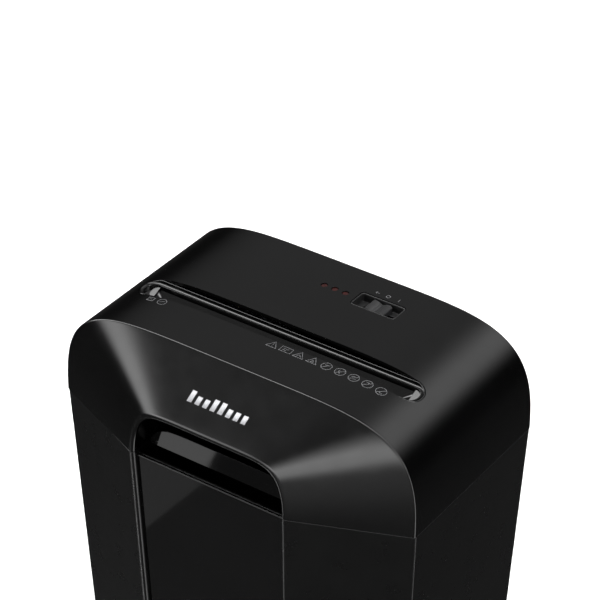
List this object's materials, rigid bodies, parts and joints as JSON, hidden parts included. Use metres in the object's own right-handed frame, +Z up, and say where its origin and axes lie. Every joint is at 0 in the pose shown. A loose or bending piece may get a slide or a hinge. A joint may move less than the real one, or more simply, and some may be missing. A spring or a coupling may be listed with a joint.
{
  "type": "paper shredder",
  "caption": "Free-standing paper shredder: arched head with entry slot and gear-driven cutters over a tapered cabinet, with a pull-out waste bin.",
  "frame": {"origin": "on the floor, under the middle of the machine's box", "axes": "+X to the user's right, +Y to the back, +Z up; the front and the bin's handle face -Y"},
  "size_m": [0.33, 0.205, 0.385],
  "materials": {
    "gloss_black": "glossy moulded ABS, softly mirror-like",
    "satin_black": "satin moulded plastic with a very fine grain",
    "piano_black": "high-gloss piano black",
    "inner_black": "matt moulded plastic",
    "rubber": "matt",
    "steel": "zinc-plated sheet and bar",
    "tool_steel": "hardened and ground",
    "bronze": "sintered bronze",
    "nylon": "natural nylon",
    "lens": "tinted lamp lens, unlit",
    "board_green": "solder mask",
    "grey_plastic": "satin grey moulding",
    "white_plastic": "smooth"
  },
  "bodies": {
    "housing": {"head_cover": "gloss_black", "front_fascia": "gloss_black", "entry_funnel": "gloss_black", "cabinet_shell": "satin_black", "head_base": "inner_black", "throat_guide_front": "inner_black", "throat_guide_rear": "inner_black", "stripper_comb_front": "inner_black", "stripper_comb_rear": "inner_black", "gear_cover": "inner_black", "motor_end_cap": "inner_black", "thermal_cutout": "inner_black", "switch_dish": "inner_black", "mode_switch_body": "inner_black", "rocker_bezel": "inner_black", "cord_gland": "inner_black", "interlock_switch": "inner_black", "paper_sensor": "inner_black", "foot_front_left": "rubber", "foot_front_right": "rubber", "foot_rear_left": "rubber", "foot_rear_right": "rubber", "case_screw_front_left": "steel", "case_screw_front_right": "steel", "case_screw_rear_left": "steel", "case_screw_rear_right": "steel", "side_frame_left": "steel", "side_frame_right": "steel", "tie_rod_1": "steel", "tie_rod_2": "steel", "tie_rod_3": "steel", "motor_can": "steel", "bush_front_left": "bronze", "bush_front_right": "bronze", "bush_rear_left": "bronze", "bush_rear_right": "bronze", "bin_rail_left": "nylon", "bin_rail_right": "nylon", "lamp_lens_1": "lens", "lamp_lens_2": "lens", "lamp_lens_3": "lens", "control_board": "board_green", "transformer": "grey_plastic", "run_capacitor": "white_plastic"},
    "bin": {"bin_bucket": "inner_black", "bin_front_frame": "satin_black", "bin_front_panel": "piano_black"},
    "mode_knob": {"mode_knob": "grey_plastic"},
    "mains_rocker": {"mains_rocker": "gloss_black"},
    "rear_cutter": {"cutter_rear": "tool_steel", "cutter_gear_rear": "steel", "drive_gear": "steel"},
    "front_cutter": {"cutter_front": "tool_steel", "cutter_gear_front": "steel"},
    "second_idler": {"idler_gear_second": "nylon"},
    "first_idler": {"idler_gear_first": "nylon"},
    "rotor": {"motor_rotor": "steel", "cooling_fan": "inner_black"},
    "sensor_flag": {"sensor_flag": "white_plastic"},
    "interlock_plunger": {"interlock_plunger": "white_plastic"}
  },
  "joints": [
    {"name": "bin_slide", "type": "slide", "parent": "housing", "child": "bin", "axis": [0, -1, 0], "range_m": [0, 0.14]},
    {"name": "mode_slide", "type": "slide", "parent": "housing", "child": "mode_knob", "axis": [1, 0, 0], "range_m": [-0.01, 0.01]},
    {"name": "mains_rock", "type": "hinge", "parent": "housing", "child": "mains_rocker", "pos_m": [0.095, 0.0975, 0.3265], "axis": [0, 0, 1], "range_deg": [0, 19]},
    {"name": "rear_cutter_spin", "type": "hinge", "parent": "housing", "child": "rear_cutter", "pos_m": [0, 0.0076, 0.33075], "axis": [1, 0, 0], "continuous": true},
    {"name": "front_cutter_spin", "type": "hinge", "parent": "housing", "child": "front_cutter", "pos_m": [0, -0.0214, 0.33075], "axis": [1, 0, 0], "continuous": true},
    {"name": "second_idler_spin", "type": "hinge", "parent": "housing", "child": "second_idler", "pos_m": [0, 0.04141, 0.33981], "axis": [1, 0, 0], "continuous": true},
    {"name": "first_idler_spin", "type": "hinge", "parent": "housing", "child": "first_idler", "pos_m": [0, 0.05325, 0.32175], "axis": [1, 0, 0], "continuous": true},
    {"name": "rotor_spin", "type": "hinge", "parent": "housing", "child": "rotor", "pos_m": [0, 0.074, 0.32775], "axis": [1, 0, 0], "continuous": true},
    {"name": "sensor_flag_tip", "type": "hinge", "parent": "housing", "child": "sensor_flag", "pos_m": [0, 0.0081, 0.35875], "axis": [1, 0, 0], "range_deg": [0, 25], "stiffness_Nm_per_rad": 0.0005, "springref_deg": -20.05},
    {"name": "interlock_slide", "type": "slide", "parent": "housing", "child": "interlock_plunger", "axis": [0, -1, 0], "range_m": [0, 0.003]}
  ],
  "couplings": [
    {"joint": "front_cutter_spin", "follows": "rear_cutter_spin", "ratio": -1},
    {"joint": "second_idler_spin", "follows": "rear_cutter_spin", "ratio": -4.0909},
    {"joint": "first_idler_spin", "follows": "rear_cutter_spin", "ratio": 12.273},
    {"joint": "rotor_spin", "follows": "rear_cutter_spin", "ratio": -36.818},
    {"joint": "interlock_slide", "follows": "bin_slide", "ratio": 0.0214}
  ]
}
